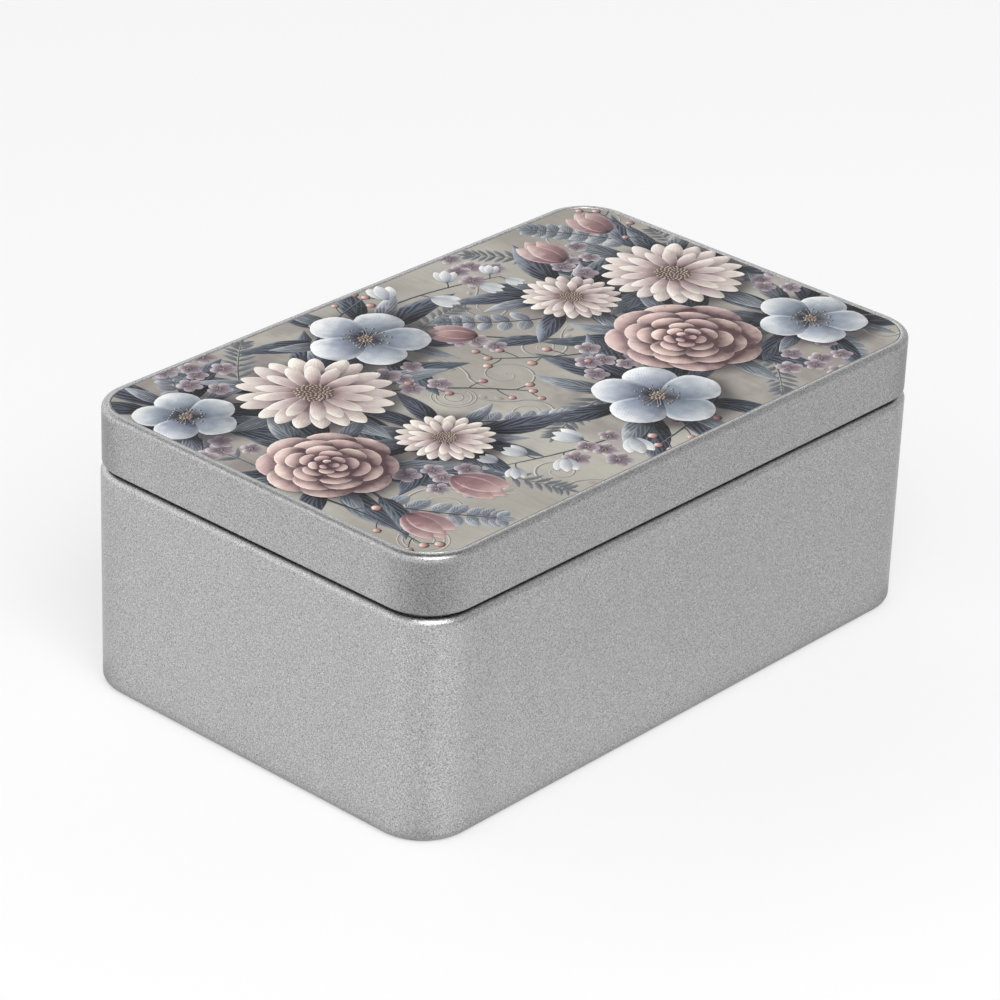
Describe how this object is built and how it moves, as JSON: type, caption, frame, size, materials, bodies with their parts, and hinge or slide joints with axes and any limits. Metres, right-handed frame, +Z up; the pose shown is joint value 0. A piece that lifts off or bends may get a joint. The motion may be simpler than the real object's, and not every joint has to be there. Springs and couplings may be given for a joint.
{
  "type": "tin storage box",
  "caption": "Rounded rectangular tinplate box for papers and keepsakes, with a stepped neck, curled rims and a deep lift-off slip lid that carries a printed plate.",
  "frame": {"origin": "middle of the footprint, on the surface that the box stands on", "axes": "+X along the long sides, +Y towards the side whose wall holds the locked seam, +Z up through the lid"},
  "size_m": [0.2, 0.1284, 0.0828],
  "materials": {
    "tinplate": "satin silver lacquer with a fine grain",
    "adhesive": "thin double-sided film",
    "printed_plate": "satin print of flowers on a warm grey ground"
  },
  "bodies": {
    "box": {"body_wall": "tinplate", "bottom_panel": "tinplate"},
    "lid": {"lid_shell": "tinplate", "adhesive_sheet": "adhesive", "print_plate": "printed_plate"}
  },
  "joints": [
    {"name": "lid_lift", "type": "slide", "parent": "box", "child": "lid", "axis": [0, 0, 1], "range_m": [0, 0.12]}
  ]
}
